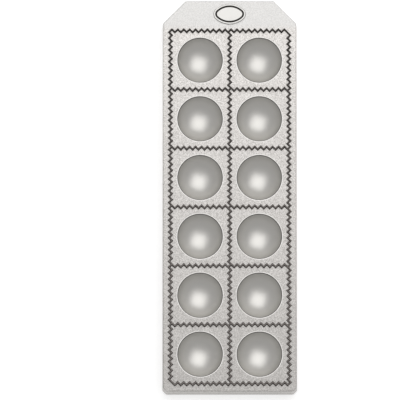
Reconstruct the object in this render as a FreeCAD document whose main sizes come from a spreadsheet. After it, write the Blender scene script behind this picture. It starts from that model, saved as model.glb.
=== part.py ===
import FreeCAD, Part
import os

import Sketcher
from FreeCAD import Vector

# Cast aluminium mould that fills and cuts square ravioli, two across and six along.
#
# The tray is one thin-walled casting. A pinked cutting ridge divides its flat face into square cells, and each
# cell has a round dished cup for the filling. Under the face the cups stand out as domes, and a drafted skirt
# runs round the edge and carries the tray clear of the table. The end with the two large clipped corners is
# left plain to hold the tray by, and an oval badge is fixed there in a shallow seat.
#
# The casting is modelled as its die shapes it: an outer form with the cups sunk in it, less a core that leaves
# the hollow underneath, with a dish in the core for every dome. The ridge is then raised on the face.
#
# Frame: origin on the table under the middle of the tray, +X to the right, +Y towards the badge, +Z up.

# The driving sizes: name, millimetres or degrees or a count, and what it measures.
SIZES = (
    ("cell_pitch", 45, "side of one ravioli, from cutting line to cutting line"),
    ("cell_columns", 2, "ravioli across the tray"),
    ("cell_rows", 6, "ravioli along the tray"),
    ("teeth_per_cell", 10, "teeth of the pinked edge along one side of a cell"),
    ("side_margin", 5.6, "outer cutting line to the long edge of the face"),
    ("foot_margin", 6, "lowest cutting line to the end edge of the face"),
    ("handle_length", 23, "highest cutting line to the end edge of the face"),
    ("handle_clip", 17.3, "leg of the large clipped corners at the plain end"),
    ("foot_clip", 2.6, "leg of the small clipped corners at the other end"),
    ("corner_round", 1.2, "radius of the upright corners of the skirt"),
    ("edge_round", 0.8, "radius between the face and the skirt"),
    ("face_thickness", 2.4, "thickness of the face"),
    ("skirt_wall", 2.4, "thickness of the skirt"),
    ("draft_angle", 2, "lean of the skirt, wider towards the table"),
    ("root_round", 1.5, "radius under the face where the skirt meets it"),
    ("table_gap", 5.3, "air between the table and the lowest point of a dome"),
    ("cup_border", 5.2, "cutting line to the edge of a cup"),
    ("cup_depth", 9.5, "depth of a cup below the face"),
    ("cup_wall", 2.2, "thickness of the casting around a cup"),
    ("lip_break", 0.4, "bevel that breaks the edge of a cup"),
    ("ridge_root", 1.4, "thickness of the cutting ridge where it leaves the face"),
    ("ridge_crest", 0.5, "thickness of the cutting ridge at its flat crest"),
    ("ridge_height", 1.5, "height of the cutting ridge above the face"),
    ("badge_length", 24, "long axis of the oval badge"),
    ("badge_width", 15.2, "short axis of the oval badge"),
    ("badge_end_radius", 4.8, "radius of the two small arcs of the oval"),
    ("badge_thickness", 1.7, "thickness of the badge at its rim"),
    ("badge_edge_gap", 2.6, "badge to the end edge of the face"),
    ("badge_rim", 1.1, "width of the raised rim of the badge"),
    ("badge_channel", 1.2, "width of the sunk channel inside that rim"),
    ("badge_channel_depth", 0.6, "depth of the channel"),
    ("seat_depth", 0.5, "depth of the seat that the badge is fixed in"),
    ("seat_gap", 0.2, "clearance between the badge and the wall of its seat"),
)

# Places and sizes that follow from the driving ones.
HALF_FIELD_WIDTH = "(Sizes.cell_columns * Sizes.cell_pitch / 2)"
FIELD_LENGTH = "(Sizes.cell_rows * Sizes.cell_pitch)"
HALF_WIDTH = f"({HALF_FIELD_WIDTH} + Sizes.side_margin)"
HALF_LENGTH = f"(({FIELD_LENGTH} + Sizes.foot_margin + Sizes.handle_length) / 2)"
FACE_LEVEL = "(Sizes.cup_depth + Sizes.cup_wall + Sizes.table_gap)"
FLARE = f"({FACE_LEVEL} * tan(Sizes.draft_angle))"
HOLLOW_HEIGHT = f"({FACE_LEVEL} - Sizes.face_thickness)"
FIELD_LEFT = f"(-{HALF_FIELD_WIDTH})"
FIELD_FOOT = f"(Sizes.foot_margin - {HALF_LENGTH})"
FIRST_CELL_X = f"({FIELD_LEFT} + Sizes.cell_pitch / 2)"
FIRST_CELL_Y = f"({FIELD_FOOT} + Sizes.cell_pitch / 2)"
MOUTH_RADIUS = "(Sizes.cell_pitch / 2 - Sizes.cup_border)"
CUP_RADIUS = f"(({MOUTH_RADIUS}^2 + Sizes.cup_depth^2) / (2 * Sizes.cup_depth))"
DOME_RADIUS = f"({CUP_RADIUS} + Sizes.cup_wall)"
BALL_LEVEL = f"({FACE_LEVEL} - Sizes.cup_depth + {CUP_RADIUS})"
BADGE_Y = f"({HALF_LENGTH} - Sizes.badge_edge_gap - Sizes.badge_width / 2)"
SEAT_LEVEL = f"({FACE_LEVEL} - Sizes.seat_depth)"
BADGE_TOP = f"({SEAT_LEVEL} + Sizes.badge_thickness)"

# How a sketch names its own two axes, the points of a line or an arc, and its origin.
ACROSS, UPRIGHT = range(-1, -3, -1)
START, END, CENTRE = range(1, 4)
ORIGIN = (ACROSS, START)

# Two levels closer than this are the same level.
TINY = 1e-5

doc = FreeCAD.newDocument("RavioliMould")
sheet = doc.addObject("Spreadsheet::Sheet", "Sizes")


def fill_sheet():
    """Write each driving size into the sheet, under its own name and beside what it measures."""
    for row, (alias, value, meaning) in enumerate(SIZES, start=1):
        sheet.set(f"A{row}", meaning)
        sheet.set(f"B{row}", str(value))
        sheet.setAlias(f"B{row}", alias)
    doc.recompute()


def value_of(expression):
    """The number that an expression on the sheet gives now."""
    result = sheet.evalExpression(expression)
    return float(getattr(result, "Value", result))


def origin_feature(body, role):
    """One of a body's own origin planes or axes."""
    return next(feature for feature in body.Origin.OriginFeatures if feature.Role == role)


def new_sketch(body, name, plane, **offsets):
    """A sketch on an origin plane, moved by an expression for each of its x, y and z that is given."""
    sketch = body.newObject("Sketcher::SketchObject", name)
    sketch.AttachmentSupport = [(origin_feature(body, plane), "")]
    sketch.MapMode = "FlatFace"
    for axis, expression in offsets.items():
        sketch.setExpression(f"AttachmentOffset.Base.{axis}", expression)
    return sketch


def constrain(sketch, kind, *refs):
    """A constraint without a size."""
    sketch.addConstraint(Sketcher.Constraint(kind, *refs))


def dimension(sketch, expression, kind, *refs):
    """A constraint whose size follows an expression."""
    index = sketch.addConstraint(Sketcher.Constraint(kind, *refs, value_of(expression)))
    sketch.setExpression(f"Constraints[{index}]", expression)


def line(x_1, y_1, x_2, y_2):
    """A straight edge in the plane of a sketch."""
    return Part.LineSegment(Vector(x_1, y_1, 0), Vector(x_2, y_2, 0))


def arc(centre_x, centre_y, radius, first_x, first_y, last_x, last_y):
    """The anticlockwise arc about a centre, from the direction of a first point to that of a last one."""
    centre = Vector(centre_x, centre_y, 0)
    circle = Part.Circle(centre, Vector(0, 0, 1), radius)
    first = circle.parameter(Vector(first_x, first_y, 0))
    last = circle.parameter(Vector(last_x, last_y, 0))
    return Part.ArcOfCircle(circle, first, last)


def outline_sketch(body, name, level, inset):
    """The eight-sided outline of the tray at a level, with every side moved inwards by inset."""
    half_width = f"{HALF_WIDTH} - ({inset})"
    half_length = f"{HALF_LENGTH} - ({inset})"
    leg_loss = f"({inset}) * (2 - sqrt(2))"
    handle_clip = f"Sizes.handle_clip - {leg_loss}"
    foot_clip = f"Sizes.foot_clip - {leg_loss}"
    x, y = value_of(half_width), value_of(half_length)
    upper, lower = value_of(handle_clip), value_of(foot_clip)
    right_side = [(x - lower, -y), (x, lower - y), (x, y - upper), (x - upper, y)]
    corners = right_side + [(-x, y) for x, y in reversed(right_side)]
    count = len(corners)
    sketch = new_sketch(body, name, "XY_Plane", z=level)
    for here, there in zip(corners, corners[1:] + corners[:1]):
        sketch.addGeometry(line(*here, *there), False)
    for edge in range(count):
        constrain(sketch, "Coincident", edge, END, (edge + 1) % count, START)
    for edge in range(len(right_side)):
        constrain(sketch, "Symmetric", edge, START, count - 1 - edge, START, UPRIGHT)
    constrain(sketch, "Vertical", 1)
    dimension(sketch, half_width, "DistanceX", *ORIGIN, 1, START)
    dimension(sketch, half_length, "DistanceY", 0, START, *ORIGIN)
    dimension(sketch, half_length, "DistanceY", *ORIGIN, 2, END)
    dimension(sketch, foot_clip, "DistanceX", 0, START, 0, END)
    dimension(sketch, foot_clip, "DistanceY", 0, START, 0, END)
    dimension(sketch, handle_clip, "DistanceX", 2, END, 2, START)
    dimension(sketch, handle_clip, "DistanceY", 2, START, 2, END)
    return sketch


def add_oval(sketch, inset):
    """Draw the oval of the badge, moved inwards by inset: two small end arcs between two long flank arcs."""
    end_radius = f"Sizes.badge_end_radius - ({inset})"
    end_x = "(Sizes.badge_length / 2 - Sizes.badge_end_radius)"
    half_width = "(Sizes.badge_width / 2)"
    flank_radius = (
        f"({end_x}^2 + {half_width}^2 - Sizes.badge_end_radius^2) / "
        f"(2 * ({half_width} - Sizes.badge_end_radius)) - ({inset})"
    )
    small, large, out = value_of(end_radius), value_of(flank_radius), value_of(end_x)
    drop = large - value_of(f"{half_width} - ({inset})")
    apart = (out**2 + drop**2) ** 0.5
    meet_x = out + small * out / apart
    meet_y = small * drop / apart
    first = sketch.GeometryCount
    sketch.addGeometry(arc(out, 0, small, meet_x, -meet_y, meet_x, meet_y), False)
    sketch.addGeometry(arc(0, -drop, large, meet_x, meet_y, -meet_x, meet_y), False)
    sketch.addGeometry(arc(-out, 0, small, -meet_x, meet_y, -meet_x, -meet_y), False)
    sketch.addGeometry(arc(0, drop, large, -meet_x, -meet_y, meet_x, -meet_y), False)
    right, upper, left, lower = range(first, first + 4)
    constrain(sketch, "Tangent", right, END, upper, START)
    constrain(sketch, "Tangent", lower, END, right, START)
    constrain(sketch, "Coincident", upper, END, left, START)
    constrain(sketch, "Coincident", left, END, lower, START)
    constrain(sketch, "Symmetric", upper, START, upper, END, UPRIGHT)
    constrain(sketch, "Symmetric", lower, START, lower, END, UPRIGHT)
    constrain(sketch, "Equal", right, left)
    constrain(sketch, "Equal", upper, lower)
    constrain(sketch, "PointOnObject", right, CENTRE, ACROSS)
    constrain(sketch, "Symmetric", right, CENTRE, left, CENTRE, *ORIGIN)
    dimension(sketch, end_x, "DistanceX", *ORIGIN, right, CENTRE)
    dimension(sketch, end_radius, "Radius", right)
    dimension(sketch, flank_radius, "Radius", upper)


def feature_on(body, kind, name, profile, length, reverse=False):
    """A Pad or Pocket of a sketch, by a length along the normal that the kind and reverse give."""
    feature = body.newObject(f"PartDesign::{kind}", name)
    feature.Profile = profile
    feature.Reversed = reverse
    feature.setExpression("Length", length)
    doc.recompute()
    return feature


def dress_edges(body, kind, name, size, wanted):
    """A Fillet or Chamfer on every edge of the body's last shape that the wanted test picks."""
    base = body.Tip
    names = [f"Edge{i}" for i, edge in enumerate(base.Shape.Edges, start=1) if wanted(edge)]
    feature = body.newObject(f"PartDesign::{kind}", name)
    feature.Base = (base, names)
    feature.setExpression("Radius" if kind == "Fillet" else "Size", size)
    doc.recompute()
    return feature


def draft_sides(body, name, neutral_level, widens_downwards):
    """Lean every side face by the draft angle about the level where the outline was drawn."""
    base = body.Tip
    faces = list(enumerate(base.Shape.Faces, start=1))
    draft = body.newObject("PartDesign::Draft", name)
    draft.Base = (base, [f"Face{i}" for i, face in faces if face.BoundBox.ZLength > TINY])
    draft.NeutralPlane = (base, [f"Face{i}" for i, face in faces if spans(face, neutral_level, neutral_level)])
    draft.Reversed = not widens_downwards
    draft.setExpression("Angle", "Sizes.draft_angle")
    doc.recompute()
    return draft


def spans(shape, low, high):
    """True if a shape reaches exactly from one level to another."""
    return abs(shape.BoundBox.ZMin - low) < TINY and abs(shape.BoundBox.ZMax - high) < TINY


def sink_balls(body, name, radius):
    """Take a ball out of the body in every cell: all balls share the centres of the cups.

    The poles of a ball lie level, so that no seam or pole falls in a cup.
    """
    ball = body.newObject("PartDesign::SubtractiveSphere", name)
    ball.AttachmentSupport = [(origin_feature(body, "XZ_Plane"), "")]
    ball.MapMode = "FlatFace"
    ball.setExpression("AttachmentOffset.Base.x", FIRST_CELL_X)
    ball.setExpression("AttachmentOffset.Base.y", BALL_LEVEL)
    ball.setExpression("AttachmentOffset.Base.z", f"-{FIRST_CELL_Y}")
    ball.setExpression("Radius", radius)
    doc.recompute()
    pattern = body.newObject("PartDesign::LinearPattern", f"{name}_in_each_cell")
    pattern.Originals = [ball]
    pattern.Direction = (origin_feature(body, "X_Axis"), [""])
    pattern.setExpression("Length", "(Sizes.cell_columns - 1) * Sizes.cell_pitch")
    pattern.setExpression("Occurrences", "Sizes.cell_columns")
    pattern.Direction2 = (origin_feature(body, "Y_Axis"), [""])
    pattern.setExpression("Length2", "(Sizes.cell_rows - 1) * Sizes.cell_pitch")
    pattern.setExpression("Occurrences2", "Sizes.cell_rows")
    body.Tip = pattern
    doc.recompute()
    return pattern


def make_form():
    """The outer form of the casting, with its cups and the seat of the badge."""
    body = doc.addObject("PartDesign::Body", "outer_form")
    face = value_of(FACE_LEVEL)
    outline = outline_sketch(body, "face_outline", FACE_LEVEL, "0")
    feature_on(body, "Pad", "block", outline, FACE_LEVEL, reverse=True)
    draft_sides(body, "skirt_draft", face, widens_downwards=True)
    dress_edges(body, "Fillet", "skirt_corners", "Sizes.corner_round", lambda edge: spans(edge, 0, face))
    dress_edges(body, "Fillet", "face_edge", "Sizes.edge_round", lambda edge: spans(edge, face, face))
    sink_balls(body, "cup", CUP_RADIUS)
    dress_edges(body, "Chamfer", "cup_lips", "Sizes.lip_break", lambda edge: edge.isClosed())
    seat_outline = new_sketch(body, "seat_outline", "XY_Plane", y=BADGE_Y, z=FACE_LEVEL)
    add_oval(seat_outline, "-Sizes.seat_gap")
    feature_on(body, "Pocket", "badge_seat", seat_outline, "Sizes.seat_depth")
    return body


def make_core():
    """What the hollow under the face takes away: a drafted block with a dish for every dome."""
    body = doc.addObject("PartDesign::Body", "core")
    top = value_of(HOLLOW_HEIGHT)
    outline = outline_sketch(body, "rim_outline", "0", f"Sizes.skirt_wall - {FLARE}")
    feature_on(body, "Pad", "core_block", outline, HOLLOW_HEIGHT)
    draft_sides(body, "core_draft", 0, widens_downwards=True)
    dress_edges(body, "Fillet", "core_edge", "Sizes.root_round", lambda edge: spans(edge, top, top))
    sink_balls(body, "dome", DOME_RADIUS)
    return body


def pinked_loop(columns, rows, x_low, y_low, widen, level):
    """The zigzag round a block of cells in one level, anticlockwise, as a list of its corners.

    Along each cutting line the stroke swings a quarter of a tooth to either side, at 45 degrees to it, so all
    its corners are square. The four runs share the slanted stroke at each crossing of the lines. widen moves
    every stroke outwards, or inwards where it is negative.
    """
    tooth = value_of("Sizes.cell_pitch / Sizes.teeth_per_cell")
    teeth = round(value_of("Sizes.teeth_per_cell"))
    x_high = x_low + columns * teeth * tooth
    y_high = y_low + rows * teeth * tooth

    def along(step):
        return (step / 2 + 0.25) * tooth

    def swing(step):
        return tooth / 4 if step % 2 == 0 else -tooth / 4

    across = range(1, 2 * columns * teeth)
    upward = range(1, 2 * rows * teeth)
    corners = [Vector(x_low + along(k), y_low + swing(k), level) for k in across]
    corners += [Vector(x_high + swing(k - 1), y_low + along(k - 1), level) for k in upward]
    corners += [Vector(x_low + along(k - 1), y_high + swing(k - 1), level) for k in reversed(across)]
    corners += [Vector(x_low + swing(k), y_low + along(k), level) for k in reversed(upward)]
    moved = []
    for before, here, after in zip(corners[-1:] + corners[:-1], corners, corners[1:] + corners[:1]):
        arriving = (here - before).normalize()
        leaving = (after - here).normalize()
        outward = Vector(arriving.y + leaving.y, -arriving.x - leaving.x, 0)
        moved.append(here + outward * widen)
    return moved


def closed_wire(corners):
    """A closed wire through a list of corners."""
    return Part.makePolygon(corners + corners[:1])


def level_face(loops):
    """A flat face inside the first of some closed loops and outside all the others."""
    return Part.makeFace([closed_wire(loop) for loop in loops], "Part::FaceMakerBullseye")


def make_ridge():
    """The cutting ridge: one lattice of pinked walls that lean in from root to crest.

    It is a closed shell of flat faces: the level crest, a level base sunk into the casting, and a flank along
    every stroke of the outer zigzag and of the zigzag round each cell.
    """
    columns, rows = round(value_of("Sizes.cell_columns")), round(value_of("Sizes.cell_rows"))
    pitch = value_of("Sizes.cell_pitch")
    left, foot = value_of(FIELD_LEFT), value_of(FIELD_FOOT)
    face, height = value_of(FACE_LEVEL), value_of("Sizes.ridge_height")
    sunk = value_of("Sizes.face_thickness / 4")
    crest_half = value_of("Sizes.ridge_crest / 2")
    root_half = value_of("Sizes.ridge_root / 2")
    base_half = root_half + (root_half - crest_half) * sunk / height

    def loops(half, level):
        outer = pinked_loop(columns, rows, left, foot, half, level)
        cells = [
            pinked_loop(1, 1, left + column * pitch, foot + row * pitch, -half, level)
            for column in range(columns)
            for row in range(rows)
        ]
        return [outer] + cells

    base = loops(base_half, face - sunk)
    crest = loops(crest_half, face + height)
    faces = [level_face(base), level_face(crest)]
    for low, high in zip(base, crest):
        for i in range(len(low)):
            faces.append(Part.Face(closed_wire([low[i - 1], low[i], high[i], high[i - 1]])))
    shell = Part.makeShell(faces)
    shell.sewShape()
    solid = Part.makeSolid(shell)
    if solid.Volume < 0:
        solid.reverse()
    ridge = doc.addObject("Part::Feature", "cutting_ridge")
    ridge.Shape = solid
    return ridge


def make_tray():
    """The whole casting as one solid: the outer form less the core, with the cutting ridge on its face."""
    shell = doc.addObject("Part::Cut", "shell")
    shell.Base = make_form()
    shell.Tool = make_core()
    tray = doc.addObject("Part::Fuse", "tray")
    tray.Base = shell
    tray.Tool = make_ridge()
    tray.Refine = False
    doc.recompute()
    return tray


def make_badge():
    """The oval badge: a thin plate with a raised rim, a sunk channel and a plain middle, on its seat's floor."""
    body = doc.addObject("PartDesign::Body", "badge")
    outline = new_sketch(body, "badge_outline", "XY_Plane", y=BADGE_Y, z=SEAT_LEVEL)
    add_oval(outline, "0")
    feature_on(body, "Pad", "plate", outline, "Sizes.badge_thickness")
    channel = new_sketch(body, "channel_outline", "XY_Plane", y=BADGE_Y, z=BADGE_TOP)
    add_oval(channel, "Sizes.badge_rim")
    add_oval(channel, "Sizes.badge_rim + Sizes.badge_channel")
    feature_on(body, "Pocket", "channel", channel, "Sizes.badge_channel_depth")
    return body


def check_document(sub_parts):
    """Stop unless every feature was built and every sub-part is one sound solid."""
    for item in doc.Objects:
        if {"Invalid", "Error"} & set(item.State):
            raise RuntimeError(f"{item.Name} was not built")
    for item in sub_parts:
        shape = item.Shape
        if shape.isNull() or not shape.isValid() or len(shape.Solids) != 1:
            raise RuntimeError(f"{item.Label} is not one sound solid")


def export(sub_parts):
    """Write each sub-part to a file that has its name."""
    os.makedirs("parts", exist_ok=True)
    for item in sub_parts:
        item.Shape.exportStep(f"parts/{item.Label}.step")


fill_sheet()
finished = [make_tray(), make_badge()]
doc.recompute()
check_document(finished)
export(finished)
for finished_part in finished:
    box = finished_part.Shape.optimalBoundingBox()
    print(finished_part.Label, "mm:", round(box.XLength, 2), round(box.YLength, 2), round(box.ZLength, 2))
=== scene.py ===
import math

import bmesh
import bpy
import numpy as np
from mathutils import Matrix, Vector
from mathutils.geometry import delaunay_2d_cdt


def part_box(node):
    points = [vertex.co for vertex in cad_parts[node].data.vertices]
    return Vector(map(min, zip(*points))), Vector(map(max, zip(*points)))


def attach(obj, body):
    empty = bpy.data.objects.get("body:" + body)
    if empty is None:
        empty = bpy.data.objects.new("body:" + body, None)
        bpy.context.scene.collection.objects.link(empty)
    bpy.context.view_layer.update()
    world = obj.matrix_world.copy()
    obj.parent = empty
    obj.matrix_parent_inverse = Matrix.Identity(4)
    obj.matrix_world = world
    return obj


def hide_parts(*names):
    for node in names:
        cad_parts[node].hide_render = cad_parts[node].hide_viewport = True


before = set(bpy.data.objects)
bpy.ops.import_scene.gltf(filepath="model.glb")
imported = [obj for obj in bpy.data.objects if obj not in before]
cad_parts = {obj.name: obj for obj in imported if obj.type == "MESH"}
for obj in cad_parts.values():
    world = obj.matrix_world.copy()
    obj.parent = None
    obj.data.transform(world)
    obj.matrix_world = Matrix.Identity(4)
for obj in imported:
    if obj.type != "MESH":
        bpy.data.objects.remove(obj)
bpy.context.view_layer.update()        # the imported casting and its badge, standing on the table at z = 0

TRAY_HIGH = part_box("tray")[1]
BADGE_LOW, BADGE_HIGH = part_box("badge")
MM = 0.001

# Driving sizes of the casting, as its drawing has them.
COLUMNS, ROWS = 2, 6
TEETH = 10                    # teeth of the pinked edge along one side of a cell
PITCH = 45 * MM               # side of a cell
FOOT_MARGIN = 6 * MM          # lowest cutting line to the end edge of the face
HANDLE_CLIP = 17.3 * MM       # leg of the large clipped corners
FOOT_CLIP = 2.6 * MM          # leg of the small clipped corners
DRAFT = math.radians(2)       # lean of the skirt
FACE_THICKNESS = 2.4 * MM
SKIRT_WALL = 2.4 * MM
CUP_BORDER = 5.2 * MM         # cutting line to the edge of a cup
CUP_DEPTH = 9.5 * MM
CUP_WALL = 2.2 * MM
RIDGE_HEIGHT = 1.5 * MM
RIDGE_ROOT = 1.4 * MM         # thickness of the cutting ridge at its foot
RIDGE_CREST = 0.5 * MM        # and at its crest
SEAT_DEPTH = 0.5 * MM
SEAT_GAP = 0.2 * MM           # clearance between the badge and the wall of its seat
BADGE_END_RADIUS = 4.8 * MM   # small arcs of the oval

# Radii that the die and the blasting leave on the edges.
CREST_ROUND = 0.14 * MM
FOOT_ROUND = 0.35 * MM
POCKET_ROUND = 0.25 * MM      # upright inside corners of the teeth
ELBOW_ROUND = 0.2 * MM        # upright outside corners of the teeth
LIP_ROUND = 0.25 * MM
DOME_ROUND = 1.0 * MM
SEAT_ROUND = 0.08 * MM
FACE_ROUND = 0.8 * MM
RIM_ROUND = 0.3 * MM
ROOT_ROUND = 1.5 * MM
CORNER_ROUND = 1.2 * MM       # upright corners of the skirt, outside
HOLLOW_ROUND = 1.8 * MM       # upright corners of the skirt, inside
TIGHTEST_ROUND = 0.2 * MM     # and the least that one shrinks to
ARC_MIDDLE = 0.3              # how far the middle of a quarter arc lies from its tangents, in radii

# Level strips beside the rounded edges.
RIDGE_MARGIN = 0.2 * MM
FACE_MARGIN = 0.5 * MM
CEILING_MARGIN = 0.2 * MM
LIP_MARGIN = 0.6 * MM         # this one carries the start of the painted highlight on the lip
DOME_MARGIN = 0.5 * MM

# Stretches that get painted shade.
FLANK_END = 0.6 * FOOT_ROUND  # level over the land at which the painted shade on a ridge's flank ends
FOOT_END = 0.05 * FOOT_ROUND  # and at which its foot does
LINE_DEPTH = 1.0 * MM         # painted shade: a dark line under the edge of a cup, along the dish
LINE_FADE = 7.0 * MM          # and the faint painted shade that dies away below it
FAINT_SHADE = 0.45            # its strength against the line's
SHADE_REACH = 200 * MM        # painted shade on the ridges' feet grows, and that on their crests lightens, from the plain end to here
FOOT_DARKNESS = 0.25          # and how dark the painted shade on the feet gets

# Levels and places that follow.
FACE = TRAY_HIGH.z - RIDGE_HEIGHT
HOLLOW_TOP = FACE - FACE_THICKNESS
FLARE = FACE * math.tan(DRAFT)
HALF_WIDTH = TRAY_HIGH.x - FLARE
HALF_LENGTH = TRAY_HIGH.y - FLARE
FIELD_LEFT = -COLUMNS * PITCH / 2
FIELD_FOOT = FOOT_MARGIN - HALF_LENGTH
FIELD_TOP = FIELD_FOOT + ROWS * PITCH
CUP_MOUTH = PITCH / 2 - CUP_BORDER
CUP_RADIUS = (CUP_MOUTH**2 + CUP_DEPTH**2) / (2 * CUP_DEPTH)
BALL_LEVEL = FACE - CUP_DEPTH + CUP_RADIUS
CELL_CENTRES = [
    (FIELD_LEFT + (column + 0.5) * PITCH, FIELD_FOOT + (row + 0.5) * PITCH)
    for row in range(ROWS)
    for column in range(COLUMNS)
]

# How finely the round stretches are divided.
TOOTH_ARC = 4
CORNER_ARC = 6
EDGE_ARC = 4
CUP_AROUND, CUP_RINGS = 96, 11
DOME_AROUND, DOME_RINGS = 64, 8
BRIM_RINGS = 3                # in the painted dark line under the edge of a cup
CROWN_RINGS = 8
OVAL_AROUND = 120
WELD = 1e-6                   # points nearer than this are one point
INSIDE_EDGES = 1              # the triangulation's code for: triangles that the edges enclose


# Surfaces. The functions below return points as arrays, and patches are (points, faces, masks by name). All
# patches of a piece are welded into one skin at the end.

def closed_quads(levels, around):
    """Corner numbers of the quads between closed loops that follow each other level by level."""
    level, step = np.meshgrid(np.arange(levels - 1), np.arange(around), indexing="ij")
    here, after = level * around + step, level * around + (step + 1) % around
    return np.stack([here, after, after + around, here + around], axis=-1).reshape(-1, 4)


def loop_patch(loops, **masks):
    """A patch through closed loops, given as (level, point, xyz). Masks go by level or by level and point."""
    levels, around = loops.shape[:2]
    spread = {}
    for name, values in masks.items():
        by_level = np.reshape(values, (levels, -1))
        spread[name] = np.broadcast_to(by_level, (levels, around)).ravel()
    return loops.reshape(-1, 3), closed_quads(levels, around).tolist(), spread


def flat_patch(outer, holes):
    """A flat patch inside one closed loop and outside others: a triangulation that keeps the loops' edges.

    Of all the triangles, those in a hole go: a level ray from their middle crosses the loops an even number
    of times. It crosses the edge from a to b if y lies between their y, at x = a.x + (y - a.y) (b.x - a.x) /
    (b.y - a.y).
    """
    loops = []
    for loop in [outer, *holes]:
        apart = np.linalg.norm(loop - np.roll(loop, 1, axis=0), axis=1) > WELD
        loops.append(loop[apart])
    points = np.concatenate(loops)
    after = np.concatenate([np.roll(loop, -1, axis=0) for loop in loops])
    starts = np.cumsum([0] + [len(loop) for loop in loops])
    edges = []
    for start, end in zip(starts, starts[1:]):
        edges += [(corner, corner + 1) for corner in range(start, end - 1)] + [(end - 1, start)]
    flat = [Vector(point[:2]) for point in points]
    _, _, triangles, origins, _, _ = delaunay_2d_cdt(flat, edges, [], INSIDE_EDGES, 0)
    if len(origins) != len(points):
        raise RuntimeError("the loops of a flat patch cross")
    triangles = np.array([[origins[corner][0] for corner in triangle] for triangle in triangles])
    x, y = points[triangles, :2].mean(axis=1).T[..., None]
    (a_x, a_y), (b_x, b_y) = points[:, :2].T, after[:, :2].T
    rise = np.where(a_y == b_y, 1, b_y - a_y)
    crossed = ((a_y > y) != (b_y > y)) & (x < a_x + (y - a_y) * (b_x - a_x) / rise)
    kept = crossed.sum(axis=1) % 2 == 1
    return points, triangles[kept].tolist(), {}


def moved_loop(corners, side, offsets, outside_rounds, inside_rounds, levels, steps):
    """A closed outline moved sideways, once for each level, with its corners rounded to arcs.

    At offset d a corner V goes to V + m d, where m is the mitre of its two side normals: their sum over one
    plus their dot product. An arc of radius r takes its place, about V + m (d + r) where the moved side is
    the inside of the turn and about V + m (d - r) where it is the outside. The arc runs from the first
    normal, turned evenly through the angle of the turn, and a corner with no turn stays a point.
    """
    arriving = corners - np.roll(corners, 1, axis=0)
    arriving /= np.linalg.norm(arriving, axis=1, keepdims=True)
    leaving = np.roll(arriving, -1, axis=0)
    first = side * np.stack([-arriving[:, 1], arriving[:, 0]], axis=1)
    second = side * np.stack([-leaving[:, 1], leaving[:, 0]], axis=1)
    dot = (arriving * leaving).sum(axis=1)
    cross = arriving[:, 0] * leaving[:, 1] - arriving[:, 1] * leaving[:, 0]
    turn = np.arctan2(cross, dot)
    bend = np.sign(np.round(side * turn, 6))
    mitre = (first + second) / (1 + dot)[:, None]
    angle = turn[:, None] * np.linspace(0, 1, steps)
    quarter_on = np.stack([-first[:, 1], first[:, 0]], axis=1)
    facing = first[:, None] * np.cos(angle)[..., None] + quarter_on[:, None] * np.sin(angle)[..., None]
    radius = np.where(bend > 0, inside_rounds[:, None], outside_rounds[:, None])
    reach = bend * radius
    centre = corners + mitre * (offsets[:, None] + reach)[..., None]
    flat = centre[:, :, None] - reach[:, :, None, None] * facing
    flat = flat.reshape(len(offsets), -1, 2)
    height = np.broadcast_to(levels[:, None, None], flat.shape[:2] + (1,))
    return np.concatenate([flat, height], axis=-1)


def arc_section(centre, radius, start, end, steps):
    """Points of an arc in a section, from one direction angle to another, as (across, up) pairs."""
    angle = np.linspace(start, end, steps + 1)
    return np.stack([centre[0] + radius * np.cos(angle), centre[1] + radius * np.sin(angle)], axis=1)


def revolved(section, centre, around):
    """Rings of a section of (radius, level) pairs turned about an upright axis."""
    angle = np.arange(around) * (2 * math.pi / around)
    x = centre[0] + section[:, :1] * np.cos(angle)
    y = centre[1] + section[:, :1] * np.sin(angle)
    return np.stack([x, y, np.broadcast_to(section[:, 1:], x.shape)], axis=-1)


def dish_section(ball_radius, plane, edge_round, margin, rings):
    """Section of a spherical dish below a plane, from a margin outside its rounded edge down to its pole.

    The edge is an arc of radius e about a point that lies e below the plane and R + e from the centre of the
    ball, so it touches both. The ball goes on with a few narrow rings, and then at even steps of angle to
    its pole.
    """
    drop = BALL_LEVEL - plane + edge_round
    reach = math.sqrt((ball_radius + edge_round) ** 2 - drop**2)
    inward = math.atan2(drop, -reach)
    land = [[reach + margin, plane]]
    edge = arc_section((reach, plane - edge_round), edge_round, math.pi / 2, inward, EDGE_ARC)
    narrow = inward - math.pi - LINE_DEPTH / ball_radius
    brim = arc_section((0, BALL_LEVEL), ball_radius, inward - math.pi, narrow, BRIM_RINGS)
    ball = arc_section((0, BALL_LEVEL), ball_radius, narrow, -math.pi / 2, rings)
    ball[-1, 0] = 0
    return np.concatenate([land, edge, brim[1:], ball[1:]])


def cup_masks(section):
    """Masks for a cup's rings: the dish, the lip's painted highlight, and painted shade under the edge and
    below.
    """
    ring = np.arange(len(section))
    last_of_edge = EDGE_ARC + 1
    in_dish = ring >= last_of_edge
    # the lip gets a painted highlight
    on_lip = (ring > 0) & (ring <= last_of_edge)
    below = np.linalg.norm(section - section[last_of_edge], axis=1)
    # painted shade: a dark line just under the edge, and a faint shade fading below it
    in_line = below < LINE_DEPTH * (1 - 0.5 / BRIM_RINGS)
    faint = FAINT_SHADE * np.clip(1 - below / LINE_FADE, 0, 1)
    return {"dish": in_dish * 1.0, "lip": on_lip * 1.0, "line": in_dish * np.where(in_line, 1, faint)}


# The cutting ridge.

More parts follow.
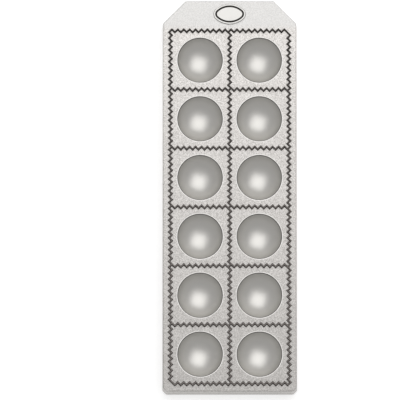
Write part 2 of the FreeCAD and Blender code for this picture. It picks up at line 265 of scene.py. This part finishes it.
def pinked_corners(columns, rows, x_low, y_low):
    """Corners of the zigzag round a block of cells, anticlockwise.

    Each cutting line swings a quarter of a tooth to either side at 45 degrees, and crossing lines share one
    slanted stroke. Where a third stroke meets a straight one, that point is in the list too.
    """
    tooth = PITCH / TEETH
    across = np.arange(2 * columns * TEETH)
    upward = np.arange(2 * rows * TEETH)

    def run(steps, along_x, base_x, base_y):
        along = (steps / 2 + 0.25) * tooth
        swing = np.where(steps % 2 == 0, tooth / 4, -tooth / 4)
        if along_x:
            return np.stack([base_x + along, base_y + swing], axis=1)
        return np.stack([base_x + swing, base_y + along], axis=1)

    x_high = x_low + columns * PITCH
    y_high = y_low + rows * PITCH
    foot = run(across, True, x_low, y_low)
    right = run(upward, False, x_high, y_low)
    top = run(across[-2::-1], True, x_low, y_high)
    left = run(upward[:0:-1], False, x_low, y_low)
    return np.concatenate([foot, right, top, left])


def ridge_section():
    """Half of the ridge's section, from the crest down to the land, as (distance, level) pairs.

    Distances count from the middle of the ridge, and the flank leans by atan((root - crest) / 2 / height). An
    arc rounds the crest's edge inside the metal and another fills the foot, each touching the flank, and the
    last point lies further out on the land.
    """
    lean = math.atan2((RIDGE_ROOT - RIDGE_CREST) / 2, RIDGE_HEIGHT)
    gain = (1 - math.sin(lean)) / math.cos(lean)
    crest_centre = (RIDGE_CREST / 2 - CREST_ROUND * gain, TRAY_HIGH.z - CREST_ROUND)
    foot_centre = (RIDGE_ROOT / 2 + FOOT_ROUND * gain, FACE + FOOT_ROUND)
    crest = arc_section(crest_centre, CREST_ROUND, math.pi / 2, lean, EDGE_ARC - 1)
    foot = arc_section(foot_centre, FOOT_ROUND, math.pi + lean, 1.5 * math.pi, EDGE_ARC - 1)
    middle = [[0, TRAY_HIGH.z]]
    land = [[foot_centre[0] + RIDGE_MARGIN, FACE]]
    return np.concatenate([middle, crest, foot, land])


def ridge_side(columns, rows, x_low, y_low, side):
    """One side of the ridge round a block of cells, from the middle of the crest out to the land.

    The corners are sharp at the middle of the level crest, where neighbouring patches meet, and a little
    round from its edge on. The masks mark the crest for its painted shade, put painted shade on the flanks,
    and away from the plain end on the feet too.
    """
    distance, level = ridge_section().T
    off_middle = distance > 0
    inside_rounds = np.where(off_middle, POCKET_ROUND, 0)
    outside_rounds = np.where(off_middle, ELBOW_ROUND, 0)
    corners = pinked_corners(columns, rows, x_low, y_low)
    loops = moved_loop(corners, side, distance, outside_rounds, inside_rounds, level, TOOTH_ARC)
    on_crest = level > TRAY_HIGH.z - CREST_ROUND / 2
    in_foot = level < FACE + FLANK_END
    on_land = level < FACE + FOOT_END
    away = np.clip((FIELD_TOP - loops[..., 1]) / SHADE_REACH, 0, 1)
    # painted shade: the flanks are painted dark, and away from the plain end the feet partly so
    flank_shade = (~on_crest & ~in_foot)[:, None] * 1.0
    foot_shade = (in_foot & ~on_land)[:, None] * away * FOOT_DARKNESS
    # the crest mask carries painted shade: dark near the plain end, lighter grey towards the foot
    return loops, loop_patch(loops, worn=on_crest * 1.0, shade=flank_shade + foot_shade)


# The skirt.

def outline_corners():
    """The eight corners of the face, anticlockwise from the foot."""
    x, y = HALF_WIDTH, HALF_LENGTH
    right = [(x - FOOT_CLIP, -y), (x, FOOT_CLIP - y), (x, y - HANDLE_CLIP), (x - HANDLE_CLIP, y)]
    return np.array(right + [(-a, b) for a, b in reversed(right)])


def skirt_section():
    """Section of the skirt, from the land over the edge, round the rim and up inside to the ceiling.

    The outer wall lies at inset (z - face) tan(draft), and the inner one at the wall's thickness less the
    flare plus z tan(draft). Each arc's centre lies its own radius from both lines that it joins. The rows
    give the inset, the level and the radius of the upright corners there, which shrinks inwards as a
    parallel curve's does.
    """
    slope = math.tan(DRAFT)

    def outer(level):
        return (level - FACE) * slope

    def inner(level):
        return SKIRT_WALL - FLARE + level * slope

    def with_corners(section, round_at_wall, wall):
        rounds = np.maximum(round_at_wall - (section[:, 0] - wall), TIGHTEST_ROUND)
        return np.concatenate([section, rounds[:, None]], axis=1)

    face_centre = (FACE_ROUND * (1 - math.sin(DRAFT)) / math.cos(DRAFT), FACE - FACE_ROUND)
    rim_centre = (outer(RIM_ROUND) + RIM_ROUND / math.cos(DRAFT), RIM_ROUND)
    lip_centre = (inner(RIM_ROUND) - RIM_ROUND / math.cos(DRAFT), RIM_ROUND)
    root_level = HOLLOW_TOP - ROOT_ROUND
    root_centre = (inner(root_level) + ROOT_ROUND / math.cos(DRAFT), root_level)
    half = math.pi / 2
    land = np.array([[face_centre[0] + FACE_MARGIN, FACE]])
    edge = arc_section(face_centre, FACE_ROUND, half, 2 * half - DRAFT, EDGE_ARC + 1)
    rim = arc_section(rim_centre, RIM_ROUND, 2 * half - DRAFT, 3 * half, EDGE_ARC - 1)
    lip = arc_section(lip_centre, RIM_ROUND, 3 * half, 4 * half - DRAFT, EDGE_ARC - 1)
    root = arc_section(root_centre, ROOT_ROUND, 2 * half - DRAFT, half, EDGE_ARC + 1)
    ceiling = np.array([[root_centre[0] + CEILING_MARGIN, HOLLOW_TOP]])
    return np.concatenate([
        with_corners(np.concatenate([land, edge]), CORNER_ROUND, 0),
        with_corners(rim, CORNER_ROUND, 0),
        with_corners(lip, HOLLOW_ROUND, lip[-1, 0]),
        with_corners(np.concatenate([root, ceiling]), HOLLOW_ROUND, root[0, 0]),
    ])


def skirt_side():
    """The skirt's section carried round the eight-sided outline, from the land to the ceiling."""
    inset, level, rounds = skirt_section().T
    loops = moved_loop(outline_corners(), 1, inset, rounds, rounds, level, CORNER_ARC)
    # the outer walls, which get painted shade
    outside = (level < FACE - FACE_ROUND / 2) & (inset < SKIRT_WALL / 2)
    return loops, loop_patch(loops, side=outside * 1.0)


# The oval badge and its seat.

def oval_loops(insets, levels):
    """The oval outline of the badge moved inwards, once for each level.

    A point is found from the direction of its normal: the small end arcs hold the directions nearer to the
    long axis than the line through the centres of an end arc and a flank arc, the flank arcs hold the rest,
    and each point is its arc's centre plus the radius, less the inset, along the normal.
    """
    half_long = (BADGE_HIGH.x - BADGE_LOW.x) / 2
    half_short = (BADGE_HIGH.y - BADGE_LOW.y) / 2
    middle_y = (BADGE_HIGH.y + BADGE_LOW.y) / 2
    end_x = half_long - BADGE_END_RADIUS
    flank_radius = (end_x**2 + half_short**2 - BADGE_END_RADIUS**2) / (2 * (half_short - BADGE_END_RADIUS))
    flank_y = flank_radius - half_short
    angle = (np.arange(OVAL_AROUND) + 0.5) * (2 * math.pi / OVAL_AROUND)
    normal = np.stack([np.cos(angle), np.sin(angle)], axis=1)
    on_end = np.abs(normal[:, 1]) * end_x < np.abs(normal[:, 0]) * flank_y
    centre_x = np.where(on_end, np.sign(normal[:, 0]) * end_x, 0)
    centre_y = np.where(on_end, 0, -np.sign(normal[:, 1]) * flank_y)
    radius = np.where(on_end, BADGE_END_RADIUS, flank_radius)
    centre = np.stack([centre_x, centre_y + middle_y], axis=1)
    flat = centre + normal * (radius - np.asarray(insets)[:, None])[..., None]
    height = np.broadcast_to(np.asarray(levels)[:, None, None], flat.shape[:2] + (1,))
    return np.concatenate([flat, height], axis=-1)


# Skins from patches.

def skin(name, patches, material, node):
    """Weld patches into one closed skin that stands for a node.

    Point normals are summed by area, so that flat lands stay flat in the shading.
    """
    masks = sorted({mask for _, _, values in patches for mask in values})
    points, faces, columns = [], [], {mask: [] for mask in masks}
    count = 0
    for patch_points, patch_faces, values in patches:
        points.append(patch_points)
        faces += [[corner + count for corner in face] for face in patch_faces]
        for mask in masks:
            columns[mask].append(values.get(mask, np.zeros(len(patch_points))))
        count += len(patch_points)
    mesh = bpy.data.meshes.new(name)
    mesh.from_pydata(np.concatenate(points).tolist(), [], faces)
    for mask in masks:
        attribute = mesh.attributes.new(mask, "FLOAT", "POINT")
        attribute.data.foreach_set("value", np.concatenate(columns[mask]))
    work = bmesh.new()
    work.from_mesh(mesh)
    bmesh.ops.remove_doubles(work, verts=work.verts, dist=WELD)
    bmesh.ops.dissolve_degenerate(work, edges=work.edges, dist=WELD / 10)
    bmesh.ops.recalc_face_normals(work, faces=work.faces)
    if not all(edge.is_manifold for edge in work.edges):
        raise RuntimeError(f"{name} is not one closed skin")
    work.to_mesh(mesh)
    work.free()
    mesh.shade_smooth()
    mesh.normals_split_custom_set_from_vertices(area_normals(mesh))
    mesh.materials.append(material)
    piece = bpy.data.objects.new(name, mesh)
    bpy.context.scene.collection.objects.link(piece)
    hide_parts(node)
    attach(piece, "root")
    return piece


def area_normals(mesh):
    """Point normals of a mesh, each face counted by its area."""
    mesh.calc_loop_triangles()
    triangles = np.zeros(len(mesh.loop_triangles) * 3, np.int32)
    mesh.loop_triangles.foreach_get("vertices", triangles)
    triangles = triangles.reshape(-1, 3)
    points = np.zeros(len(mesh.vertices) * 3)
    mesh.vertices.foreach_get("co", points)
    points = points.reshape(-1, 3)
    a, b, c = (points[triangles[:, corner]] for corner in range(3))
    normal = np.cross(b - a, c - a)
    total = np.zeros_like(points)
    for corner in range(3):
        np.add.at(total, triangles[:, corner], normal)
    return (total / np.linalg.norm(total, axis=1, keepdims=True)).tolist()


def tray_patches():
    """The whole casting: ridge, lands, cups, seat, skirt, hollow and domes."""
    skirt, skirt_patch = skirt_side()
    patches = [skirt_patch]
    around_field, field_patch = ridge_side(COLUMNS, ROWS, FIELD_LEFT, FIELD_FOOT, -1)
    patches.append(field_patch)

    middle = ARC_MIDDLE * SEAT_ROUND
    seat = oval_loops(
        [-SEAT_GAP - SEAT_ROUND, -SEAT_GAP - middle, -SEAT_GAP, -SEAT_GAP],
        [FACE, FACE - middle, FACE - SEAT_ROUND, FACE - SEAT_DEPTH],
    )
    # painted shade on the wall and floor of the seat round the badge
    patches.append(loop_patch(seat, shade=[0, 0, 1, 1]))
    patches.append(flat_patch(seat[-1], []))
    patches.append(flat_patch(skirt[0], [around_field[-1], seat[0]]))

    cup = dish_section(CUP_RADIUS, FACE, LIP_ROUND, LIP_MARGIN, CUP_RINGS)
    masks = cup_masks(cup)
    dome = dish_section(CUP_RADIUS + CUP_WALL, HOLLOW_TOP, DOME_ROUND, DOME_MARGIN, DOME_RINGS)
    dome_feet = []
    for x, y in CELL_CENTRES:
        around_cell, cell_patch = ridge_side(1, 1, x - PITCH / 2, y - PITCH / 2, 1)
        cup_rings = revolved(cup, (x, y), CUP_AROUND)
        dome_rings = revolved(dome, (x, y), DOME_AROUND)
        dome_feet.append(dome_rings[0])
        patches.append(cell_patch)
        patches.append(loop_patch(cup_rings, **masks))
        patches.append(loop_patch(dome_rings))
        patches.append(flat_patch(around_cell[-1], [cup_rings[0]]))
    patches.append(flat_patch(skirt[-1], dome_feet))
    return patches


def badge_patches():
    """The oval plate: its edge, raised rim, sunk channel and a middle that is crowned by (1 - s squared).

    The middle's loops are its edge loop drawn in by a factor s about the centre of the badge.
    """
    top, seat = BADGE_HIGH.z, BADGE_LOW.z
    rim, channel, depth, crown = 1.1 * MM, 1.2 * MM, 0.6 * MM, 0.12 * MM
    soft = 0.16 * MM
    inner = rim + channel
    floor = top - depth
    half = math.pi / 2
    section = np.concatenate([
        [[soft / 2, seat], [0, seat + soft / 2]],
        arc_section((soft, top - soft), soft, 2 * half, half, EDGE_ARC),
        [[rim / 2, top]],
        arc_section((rim - soft, top - soft), soft, half, 0, EDGE_ARC),
        arc_section((rim + soft, floor + soft), soft, 2 * half, 3 * half, EDGE_ARC),
        arc_section((inner - soft, floor + soft), soft, 3 * half, 4 * half, EDGE_ARC),
        arc_section((inner + soft, top - crown - soft), soft, 2 * half, half, EDGE_ARC),
    ])
    loops = oval_loops(*section.T)
    sunk = section[:, 1] < top - depth / 2
    in_channel = sunk & (section[:, 0] > rim - soft) & (section[:, 0] < inner + soft)
    shrink = np.linspace(1, 0, CROWN_RINGS + 1)[1:, None, None]
    middle = np.array([0, (BADGE_LOW.y + BADGE_HIGH.y) / 2, 0])
    drawn_in = middle + (loops[-1] - middle) * shrink
    drawn_in[..., 2] = top - crown * shrink[..., 0] ** 2
    field = np.concatenate([loops[-1:], drawn_in])
    return [loop_patch(loops, enamel=in_channel * 1.0), loop_patch(field), flat_patch(loops[0], [])]


# Finishes.

LAND_LIGHT = (1.0, 0.97, 0.94)
LAND_DARK = (0.625, 0.60, 0.573)
LAND_EVEN = (0.77, 0.769, 0.76)
CUP_COLOUR = (0.74, 0.725, 0.695)
# painted highlight on the lip of each cup
LIP_PAINTED_HIGHLIGHT = (1.0, 0.985, 0.96)
# dark colour of all the painted shade: ridge flanks and feet, badge seat, skirt walls, line in the cups
PAINTED_SHADE_COLOUR = (0.02, 0.018, 0.017)
# painted shade on the crests: dark near the plain end, lighter grey towards the foot
CREST_PAINTED_SHADE = (0.07, 0.062, 0.057)
CREST_LIGHTER_SHADE = (0.27, 0.24, 0.225)
BADGE_LIGHT = (0.68, 0.67, 0.645)
BADGE_DARK = (0.60, 0.59, 0.57)
ENAMEL_COLOUR = (0.02, 0.016, 0.013)
SPECKLE_LOW, SPECKLE_HIGH = 0.37, 0.63    # grain values at which the lands are darkest and lightest
FOOT_PAINTED_SHADE = 0.65             # painted shade: the lands' brightness at the foot against that at the plain end
PLAIN_EVENNESS = 0.65         # how far the grain dies down on the plain end
PLAIN_START = 5 * MM          # stretch past the cutting line over which it does
SIDE_PAINTED_SHADE = 0.06          # painted shade: how far the skirt's outer walls go towards the dark colour
LINE_SHADE = 0.8              # and how far the painted dark line at the edge of a cup does
LAND_ROUGHNESS = 0.50
CUP_ROUGHNESS = 0.42
BADGE_ROUGHNESS = 0.28
CUP_SMOOTHNESS = 0.9          # how far the grain's relief dies down in a cup
GRAIN_DEPTH = 0.12 * MM
BADGE_WEAR, BADGE_WEAR_DEPTH = 0.15, 0.01 * MM
ENAMEL_GLOSS = 0.2


def feed(tree, socket, value):
    """Link an input to another node's output, or set its value."""
    if isinstance(value, bpy.types.NodeSocket):
        tree.links.new(value, socket)
    else:
        socket.default_value = value


def add_node(tree, kind, **inputs):
    """A node with values or links for the named inputs."""
    node = tree.nodes.new(kind)
    for name, value in inputs.items():
        feed(tree, node.inputs[name.replace("_", " ")], value)
    return node


def math_node(tree, operation, first, second):
    """The result of a sum, product or the like of two values."""
    node = tree.nodes.new("ShaderNodeMath")
    node.operation = operation
    feed(tree, node.inputs[0], first)
    feed(tree, node.inputs[1], second)
    return node.outputs[0]


def grain_group():
    """Fine blasted grain over soft clouds. The two patterns and their mixed height all lie about 0.5."""
    group = bpy.data.node_groups.new("blasted_grain", "ShaderNodeTree")
    for name in ("Grain Size", "Cloud Size", "Cloud Share"):
        group.interface.new_socket(name, in_out="INPUT", socket_type="NodeSocketFloat")
    for name in ("Speckle", "Clouds", "Height"):
        group.interface.new_socket(name, in_out="OUTPUT", socket_type="NodeSocketFloat")
    start = group.nodes.new("NodeGroupInput")
    end = group.nodes.new("NodeGroupOutput")
    place = group.nodes.new("ShaderNodeTexCoord").outputs["Object"]
    grain_scale = math_node(group, "DIVIDE", 1.0, start.outputs["Grain Size"])
    cloud_scale = math_node(group, "DIVIDE", 1.0, start.outputs["Cloud Size"])
    noise = "ShaderNodeTexNoise"
    grain = add_node(group, noise, Vector=place, Scale=grain_scale, Detail=2.0, Roughness=0.7)
    clouds = add_node(group, noise, Vector=place, Scale=cloud_scale, Detail=3.0, Roughness=0.55)
    share = start.outputs["Cloud Share"]
    kept = math_node(group, "SUBTRACT", 1.0, share)
    fine_part = math_node(group, "MULTIPLY", grain.outputs["Fac"], kept)
    soft_part = math_node(group, "MULTIPLY", clouds.outputs["Fac"], share)
    height = math_node(group, "ADD", fine_part, soft_part)
    group.links.new(grain.outputs["Fac"], end.inputs["Speckle"])
    group.links.new(clouds.outputs["Fac"], end.inputs["Clouds"])
    group.links.new(height, end.inputs["Height"])
    return group


def new_material(name):
    """An empty material, with its tree and its main shader."""
    material = bpy.data.materials.new(name)
    material.use_nodes = True
    tree = material.node_tree
    shader = tree.nodes["Principled BSDF"]
    return material, tree, shader


def grain_in(tree, grain_size, cloud_size, cloud_share):
    """The grain group placed in a material."""
    node = tree.nodes.new("ShaderNodeGroup")
    node.node_tree = GRAIN
    node.inputs["Grain Size"].default_value = grain_size
    node.inputs["Cloud Size"].default_value = cloud_size
    node.inputs["Cloud Share"].default_value = cloud_share
    return node


def mask_in(tree, name):
    """A mask that the mesh carries."""
    node = tree.nodes.new("ShaderNodeAttribute")
    node.attribute_name = name
    return node.outputs["Fac"]


def mixed_colour(tree, factor, first, second):
    """One colour going over to another."""
    node = tree.nodes.new("ShaderNodeMix")
    node.data_type = "RGBA"
    colour_inputs = [socket for socket in node.inputs if socket.type == "RGBA"]
    tree.links.new(factor, node.inputs["Factor"])
    for socket, value in zip(colour_inputs, (first, second)):
        is_link = isinstance(value, bpy.types.NodeSocket)
        feed(tree, socket, value if is_link else (*value, 1))
    return next(socket for socket in node.outputs if socket.type == "RGBA")


def mapped(tree, value, low, high):
    """A value's stretch from low to high drawn out to the whole from 0 to 1, and held there beyond it."""
    node = add_node(tree, "ShaderNodeMapRange", Value=value, From_Min=low, From_Max=high)
    return node.outputs["Result"]


def land_colour(tree, grain, along, evenness):
    """Speckled metal, evened out on its plain end, with painted shade that darkens it towards the foot."""
    near_handle = mapped(tree, along, -HALF_LENGTH, HALF_LENGTH)

    def graded(colour):
        return mixed_colour(tree, near_handle, [FOOT_PAINTED_SHADE * part for part in colour], colour)

    speckle = mapped(tree, grain.outputs["Speckle"], SPECKLE_LOW, SPECKLE_HIGH)
    speckled = mixed_colour(tree, speckle, graded(LAND_DARK), graded(LAND_LIGHT))
    return mixed_colour(tree, evenness, speckled, LAND_EVEN)


def tray_colour(tree, land, along, dish):
    """The colour of the whole casting.

    Over the lands' colour go painted shade on the skirt's outer walls, a painted highlight on the lip and the
    dish of each cup, a painted dark line under its edge, painted shade on the flanks and feet of the ridges
    and on the seat of the badge, and painted shade on the crests, which is a lighter grey away from the plain
    end.
    """
    side, lip, line, shade, worn = (mask_in(tree, name) for name in ("side", "lip", "line", "shade", "worn"))
    side_shade = math_node(tree, "MULTIPLY", side, SIDE_PAINTED_SHADE)
    lined = math_node(tree, "MULTIPLY", line, LINE_SHADE)
    near_plain_end = mapped(tree, along, FIELD_TOP - SHADE_REACH, FIELD_TOP)
    # painted shade on the crests, lighter towards the foot
    crest = mixed_colour(tree, near_plain_end, CREST_LIGHTER_SHADE, CREST_PAINTED_SHADE)
    colour = land
    for factor, over in (
        (side_shade, PAINTED_SHADE_COLOUR),
        (lip, LIP_PAINTED_HIGHLIGHT),
        (dish, CUP_COLOUR),
        (lined, PAINTED_SHADE_COLOUR),
        (shade, PAINTED_SHADE_COLOUR),
        (worn, crest),
    ):
        colour = mixed_colour(tree, factor, colour, over)
    return colour


def satin_aluminium():
    """Blasted and anodised casting: grainy lands, a calmer plain end, smoother cups, ridges in painted shade.
    """
    material, tree, shader = new_material("satin_aluminium")
    grain = grain_in(tree, grain_size=0.75 * MM, cloud_size=14 * MM, cloud_share=0.1)
    dish = mask_in(tree, "dish")
    place = tree.nodes.new("ShaderNodeTexCoord").outputs["Object"]
    along = add_node(tree, "ShaderNodeSeparateXYZ", Vector=place).outputs["Y"]
    past_field = mapped(tree, along, FIELD_TOP, FIELD_TOP + PLAIN_START)
    evenness = math_node(tree, "MULTIPLY", past_field, PLAIN_EVENNESS)
    land = land_colour(tree, grain, along, evenness)
    tree.links.new(tray_colour(tree, land, along, dish), shader.inputs["Base Color"])
    smoother = math_node(tree, "MULTIPLY", dish, LAND_ROUGHNESS - CUP_ROUGHNESS)
    tree.links.new(math_node(tree, "SUBTRACT", LAND_ROUGHNESS, smoother), shader.inputs["Roughness"])
    shader.inputs["Metallic"].default_value = 1.0
    calm = math_node(tree, "MAXIMUM", math_node(tree, "MULTIPLY", dish, CUP_SMOOTHNESS), evenness)
    strength = math_node(tree, "SUBTRACT", 1.0, calm)
    bump = add_node(tree, "ShaderNodeBump", Strength=strength, Height=grain.outputs["Height"])
    bump.inputs["Distance"].default_value = GRAIN_DEPTH
    tree.links.new(bump.outputs["Normal"], shader.inputs["Normal"])
    return material


def polished_badge():
    """Polished plate with fine wear, and dark enamel in its channel."""
    material, tree, shader = new_material("polished_badge")
    grain = grain_in(tree, grain_size=0.3 * MM, cloud_size=5 * MM, cloud_share=0.3)
    enamel = mask_in(tree, "enamel")
    metal = mixed_colour(tree, grain.outputs["Clouds"], BADGE_DARK, BADGE_LIGHT)
    tree.links.new(mixed_colour(tree, enamel, metal, ENAMEL_COLOUR), shader.inputs["Base Color"])
    tree.links.new(math_node(tree, "SUBTRACT", 1.0, enamel), shader.inputs["Metallic"])
    shader.inputs["Roughness"].default_value = BADGE_ROUGHNESS
    shader.inputs["Specular IOR Level"].default_value = ENAMEL_GLOSS
    bump = add_node(tree, "ShaderNodeBump", Height=grain.outputs["Height"])
    bump.inputs["Strength"].default_value = BADGE_WEAR
    bump.inputs["Distance"].default_value = BADGE_WEAR_DEPTH
    tree.links.new(bump.outputs["Normal"], shader.inputs["Normal"])
    return material


GRAIN = grain_group()
skin("tray_casting", tray_patches(), satin_aluminium(), "tray")
skin("badge_plate", badge_patches(), polished_badge(), "badge")


# The studio.

FLOOR_GLOW = 0.5              # added to what the camera and the gloss see of the floor
FLOOR_GREY = 0.85
LOW_SKY, MIDDLE_SKY = 0.05, 0.25    # heights of a direction at which the surround has its first two colours


def pale_floor():
    """A large pale floor that the camera and the gloss see nearly white, with the shadow kept."""
    mesh = bpy.data.meshes.new("floor")
    reach = 8.0
    corners = [(-reach, -reach, 0), (reach, -reach, 0), (reach, reach, 0), (-reach, reach, 0)]
    mesh.from_pydata(corners, [], [(0, 1, 2, 3)])
    material = bpy.data.materials.new("pale_floor")
    material.use_nodes = True
    tree = material.node_tree
    tree.nodes.clear()
    path = tree.nodes.new("ShaderNodeLightPath")
    seen = math_node(tree, "MAXIMUM", path.outputs["Is Camera Ray"], path.outputs["Is Glossy Ray"])
    seen = math_node(tree, "MAXIMUM", seen, path.outputs["Is Transmission Ray"])
    matt = add_node(tree, "ShaderNodeBsdfDiffuse", Color=(FLOOR_GREY, FLOOR_GREY, FLOOR_GREY, 1))
    glow = add_node(tree, "ShaderNodeEmission", Color=(1, 1, 1, 1))
    tree.links.new(math_node(tree, "MULTIPLY", seen, FLOOR_GLOW), glow.inputs["Strength"])
    both = tree.nodes.new("ShaderNodeAddShader")
    tree.links.new(matt.outputs[0], both.inputs[0])
    tree.links.new(glow.outputs[0], both.inputs[1])
    output = tree.nodes.new("ShaderNodeOutputMaterial")
    tree.links.new(both.outputs[0], output.inputs["Surface"])
    mesh.materials.append(material)
    floor = bpy.data.objects.new("floor", mesh)
    bpy.context.scene.collection.objects.link(floor)


def soft_light(name, elevation, azimuth, distance, width, depth, radiance):
    """A broad soft light aimed at the middle of the tray, from angles in degrees.

    Azimuth 0 is the camera's side, and 180 behind. A radiance of 1 is what a mirror shows as white.
    """
    up, around = math.radians(elevation), math.radians(azimuth)
    away = Vector((math.sin(around) * math.cos(up), -math.cos(around) * math.cos(up), math.sin(up)))
    data = bpy.data.lights.new(name, "AREA")
    data.shape = "RECTANGLE"
    data.size = width
    data.size_y = depth
    data.energy = radiance * math.pi * width * depth
    lamp = bpy.data.objects.new(name, data)
    lamp.location = away * distance
    lamp.rotation_euler = away.to_track_quat("Z", "Y").to_euler()
    bpy.context.scene.collection.objects.link(lamp)


def studio_world(horizon, sky, zenith):
    """A dim surround: its colour goes from the horizon over the middle heights to the zenith."""
    world = bpy.data.worlds.new("studio")
    world.use_nodes = True
    tree = world.node_tree
    tree.nodes.clear()
    direction = tree.nodes.new("ShaderNodeTexCoord").outputs["Generated"]
    height = add_node(tree, "ShaderNodeSeparateXYZ", Vector=direction).outputs["Z"]
    ramp = tree.nodes.new("ShaderNodeValToRGB")
    tree.links.new(height, ramp.inputs["Fac"])
    stops = ramp.color_ramp.elements
    stops[0].position = LOW_SKY
    stops[1].position = 1.0
    stops.new(MIDDLE_SKY)
    for stop, grey in zip(stops, (horizon, sky, zenith)):
        stop.color = (grey, grey, grey, 1)
    background = add_node(tree, "ShaderNodeBackground", Color=ramp.outputs["Color"], Strength=1.0)
    output = tree.nodes.new("ShaderNodeOutputWorld")
    tree.links.new(background.outputs[0], output.inputs["Surface"])
    bpy.context.scene.world = world


def photo_camera():
    """A long lens that looks steeply down from the foot end, with the tray right of the middle."""
    elevation = math.radians(82.9)
    distance = 8.0
    picture = 400                    # side of the picture in pixels
    scale = 0.7595 * MM              # width of a pixel at the face of the tray
    tray_x, tray_y = 229.7, 195.8    # pixel on which the middle of the face lies
    aim = Vector((
        (picture / 2 - tray_x) * scale,
        -(picture / 2 - tray_y) * scale / math.sin(elevation),
        FACE,
    ))
    away = Vector((0, -math.cos(elevation), math.sin(elevation)))
    data = bpy.data.cameras.new("camera")
    data.lens = data.sensor_width * distance / (picture * scale)
    data.clip_end = 100
    camera = bpy.data.objects.new("camera", data)
    camera.location = aim + away * distance
    camera.rotation_euler = away.to_track_quat("Z", "Y").to_euler()
    bpy.context.scene.collection.objects.link(camera)
    bpy.context.scene.camera = camera


pale_floor()
studio_world(horizon=0.8, sky=0.42, zenith=0.42)
soft_light("key", elevation=68, azimuth=163, distance=6.0, width=6.8, depth=7.6, radiance=1.0)
photo_camera()
bpy.context.scene.view_settings.view_transform = "Standard"
